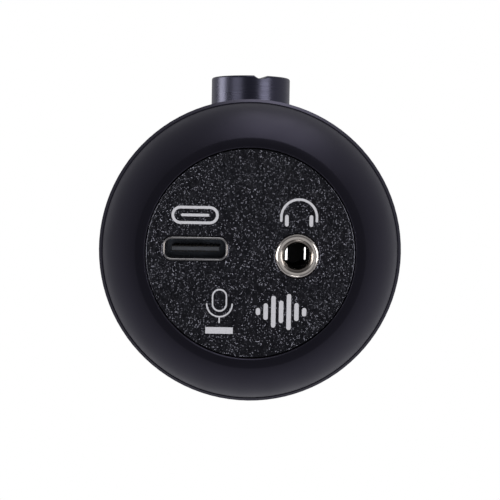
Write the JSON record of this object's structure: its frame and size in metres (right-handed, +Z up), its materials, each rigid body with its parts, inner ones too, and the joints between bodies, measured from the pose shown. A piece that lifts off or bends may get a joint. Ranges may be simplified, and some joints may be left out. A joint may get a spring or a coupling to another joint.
{
  "type": "desktop microphone",
  "caption": "Cylindrical side-address USB microphone with a recessed port panel in its base, a side volume knob and a domed wire-mesh head.",
  "frame": {"origin": "on the barrel's axis, in the plane of the bottom rim's flat crest", "axes": "+Z up the barrel towards the mesh head, -Y towards the volume knob, +X to the right seen from the knob's side"},
  "size_m": [0.043, 0.0493, 0.162],
  "materials": {
    "black_anodised": "satin black anodised, fine bead blast",
    "knob_metal": "satin dark blue-grey anodised, turned",
    "panel_plastic": "black, coarse spark-eroded grain",
    "black_plastic": "black moulded",
    "stainless": "bright drawn",
    "gold_contacts": "gold plated",
    "nickel": "polished nickel plate",
    "zinc_casting": "die cast, as cast",
    "zinc_screws": "zinc plated",
    "circuit_board": "green solder mask",
    "chip_resin": "moulded epoxy",
    "ceramic_parts": "fired ceramic chip",
    "capacitor_cans": "bright can",
    "carbon_track": "printed carbon on laminate",
    "black_mesh": "woven steel wire, black",
    "fine_wire": "fine woven screen, black",
    "foam": "open-cell foam",
    "cradle_rubber": "soft moulded rubber",
    "capsule_brass": "turned",
    "diaphragm_film": "gold-sputtered film",
    "lead_insulation": "extruded insulation"
  },
  "bodies": {
    "root": {"base_ring": "black_anodised", "barrel": "black_anodised", "grille_collar": "black_anodised", "grille_band": "black_anodised", "port_panel": "panel_plastic", "usb_c_tongue": "black_plastic", "usb_c_housing": "black_plastic", "jack_housing": "black_plastic", "knob_seat": "black_plastic", "header_block": "black_plastic", "lead_socket": "black_plastic", "capsule_post": "black_plastic", "capsule_spacer": "black_plastic", "pot_base": "black_plastic", "usb_c_shell": "stainless", "usb_c_contacts": "gold_contacts", "jack_bushing": "nickel", "jack_contacts": "nickel", "pot_cover": "nickel", "pot_terminals": "nickel", "header_pins": "nickel", "crystal_can": "nickel", "chassis_base": "zinc_casting", "rail_left": "zinc_casting", "rail_right": "zinc_casting", "chassis_deck": "zinc_casting", "rail_foot_screws": "zinc_screws", "deck_screws": "zinc_screws", "io_board_screws": "zinc_screws", "main_board_screws": "zinc_screws", "collar_screws": "zinc_screws", "post_screws": "zinc_screws", "capsule_screws": "zinc_screws", "io_board": "circuit_board", "main_board": "circuit_board", "controller_chip": "chip_resin", "codec_chip": "chip_resin", "headphone_amp_chip": "chip_resin", "mic_amp_chip": "chip_resin", "chip_capacitors": "ceramic_parts", "can_capacitors": "capacitor_cans", "pot_track": "carbon_track", "grille_side": "black_mesh", "grille_top": "black_mesh", "fine_mesh": "fine_wire", "foam_liner": "foam", "capsule_cradle": "cradle_rubber", "capsule_body": "capsule_brass", "backplate": "capsule_brass", "clamp_ring": "capsule_brass", "diaphragm": "diaphragm_film", "capsule_leads": "lead_insulation"},
    "volume_knob": {"knob": "knob_metal", "knob_core": "black_plastic", "pot_shaft": "nickel", "pot_wiper": "black_plastic"}
  },
  "joints": [
    {"name": "knob_turn", "type": "hinge", "parent": "root", "child": "volume_knob", "pos_m": [0, -0.02, 0.045], "axis": [0, -1, 0], "range_deg": [0, 300]}
  ]
}
